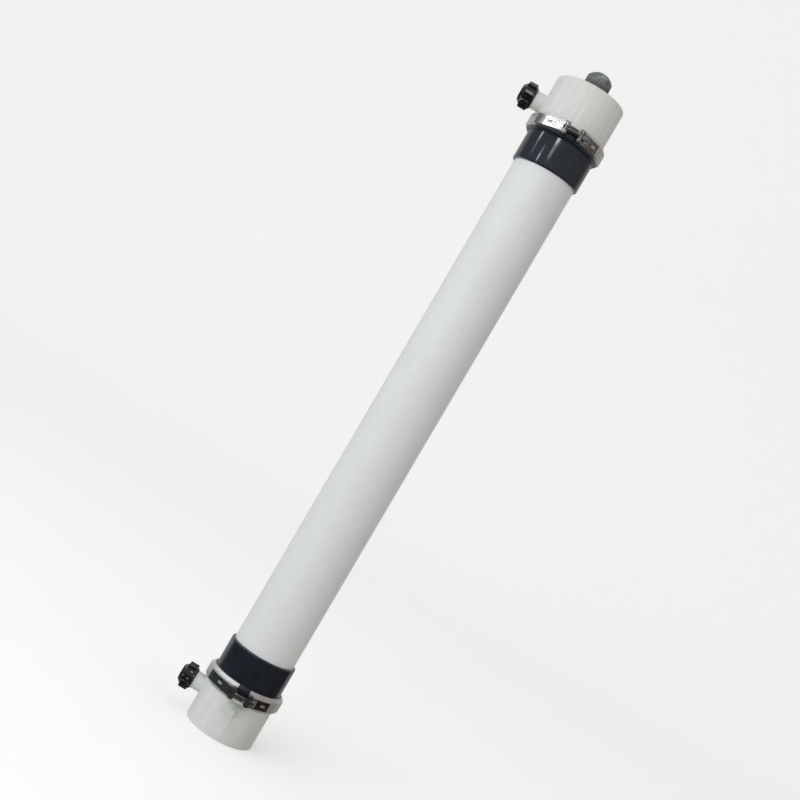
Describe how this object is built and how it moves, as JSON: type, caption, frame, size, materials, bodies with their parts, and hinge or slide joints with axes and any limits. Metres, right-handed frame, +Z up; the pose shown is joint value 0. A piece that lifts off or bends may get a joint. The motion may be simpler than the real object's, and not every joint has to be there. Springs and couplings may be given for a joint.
{
  "type": "ultrafiltration pressure vessel",
  "caption": "Upright hollow-fibre ultrafiltration vessel: round housing, clamped end caps, capped side ports and a covered permeate port on top.",
  "frame": {"origin": "centre of the lower end cap's flat closed base, on the housing's axis", "axes": "+Z up along the housing's axis to the permeate port; the side ports point along -X; the clamps close at the front, near -Y"},
  "size_m": [0.1403, 0.1201, 1.0217],
  "materials": {
    "pipe_plastic": "semi-gloss pale grey PVC",
    "cap_plastic": "semi-gloss off-white moulding",
    "collar_plastic": "glossy blue-black moulding",
    "screw_cap_plastic": "glossy black moulding",
    "cover_plastic": "soft mid-grey cover",
    "stainless_band": "rolled stainless strip",
    "stainless_strap": "bright polished stainless strip",
    "stainless_bolt": "turned stainless",
    "seal_rubber": "black sealing rubber",
    "tube_plastic": "white moulded plastic",
    "potting_resin": "cast resin",
    "fibre_membrane": "packed white hollow fibres"
  },
  "bodies": {
    "vessel": {"housing_tube": "pipe_plastic", "upper_collar": "collar_plastic", "lower_collar": "collar_plastic", "upper_end_cap": "cap_plastic", "lower_end_cap": "cap_plastic", "upper_joint_seal": "seal_rubber", "lower_joint_seal": "seal_rubber", "permeate_fitting": "cap_plastic", "permeate_tube": "tube_plastic", "permeate_tube_plug": "tube_plastic", "permeate_tube_seal": "seal_rubber", "upper_potting": "potting_resin", "lower_potting": "potting_resin", "fibre_bundle": "fibre_membrane", "upper_clamp_retainer_left": "stainless_band", "upper_clamp_retainer_right": "stainless_band", "upper_clamp_strap": "stainless_strap", "upper_clamp_t_bolt": "stainless_bolt", "upper_clamp_trunnion": "stainless_bolt", "lower_clamp_retainer_left": "stainless_band", "lower_clamp_retainer_right": "stainless_band", "lower_clamp_strap": "stainless_strap", "lower_clamp_t_bolt": "stainless_bolt", "lower_clamp_trunnion": "stainless_bolt"},
    "upper_gasket": {"upper_screw_cap_gasket": "seal_rubber"},
    "upper_cap": {"upper_screw_cap": "screw_cap_plastic"},
    "lower_gasket": {"lower_screw_cap_gasket": "seal_rubber"},
    "lower_cap": {"lower_screw_cap": "screw_cap_plastic"},
    "upper_washer": {"upper_clamp_washer": "stainless_bolt"},
    "upper_nut": {"upper_clamp_nut": "stainless_bolt"},
    "lower_washer": {"lower_clamp_washer": "stainless_bolt"},
    "lower_nut": {"lower_clamp_nut": "stainless_bolt"},
    "cover": {"permeate_cover": "cover_plastic"}
  },
  "joints": [
    {"name": "upper_cap_travel", "type": "slide", "parent": "vessel", "child": "upper_gasket", "axis": [-1, 0, 0], "range_m": [0, 0.05442]},
    {"name": "upper_cap_spin", "type": "hinge", "parent": "upper_gasket", "child": "upper_cap", "pos_m": [-0.0773, 0, 0.9468], "axis": [-1, 0, 0], "range_deg": [0, 10800]},
    {"name": "lower_cap_travel", "type": "slide", "parent": "vessel", "child": "lower_gasket", "axis": [-1, 0, 0], "range_m": [0, 0.05442]},
    {"name": "lower_cap_spin", "type": "hinge", "parent": "lower_gasket", "child": "lower_cap", "pos_m": [-0.0773, 0, 0.0432], "axis": [-1, 0, 0], "range_deg": [0, 10800]},
    {"name": "upper_nut_travel", "type": "slide", "parent": "vessel", "child": "upper_washer", "axis": [0.9978, 0.0663, 0], "range_m": [0, 0.0088]},
    {"name": "upper_nut_spin", "type": "hinge", "parent": "upper_washer", "child": "upper_nut", "pos_m": [0.01557, -0.05789, 0.9206], "axis": [0.9978, 0.0663, 0], "range_deg": [0, 3960]},
    {"name": "lower_nut_travel", "type": "slide", "parent": "vessel", "child": "lower_washer", "axis": [0.9991, 0.0419, 0], "range_m": [0, 0.0088]},
    {"name": "lower_nut_spin", "type": "hinge", "parent": "lower_washer", "child": "lower_nut", "pos_m": [0.01415, -0.05826, 0.0694], "axis": [0.9991, 0.0419, 0], "range_deg": [0, 3960]},
    {"name": "permeate_cover_pull", "type": "slide", "parent": "vessel", "child": "cover", "axis": [0, 0, 1], "range_m": [0, 0.07]}
  ],
  "couplings": [
    {"joint": "upper_cap_travel", "follows": "upper_cap_spin", "m_per_rad": 0.00028871},
    {"joint": "lower_cap_travel", "follows": "lower_cap_spin", "m_per_rad": 0.00028871},
    {"joint": "upper_nut_spin", "follows": "upper_nut_travel", "rad_per_m": 7854},
    {"joint": "lower_nut_spin", "follows": "lower_nut_travel", "rad_per_m": 7854}
  ]
}
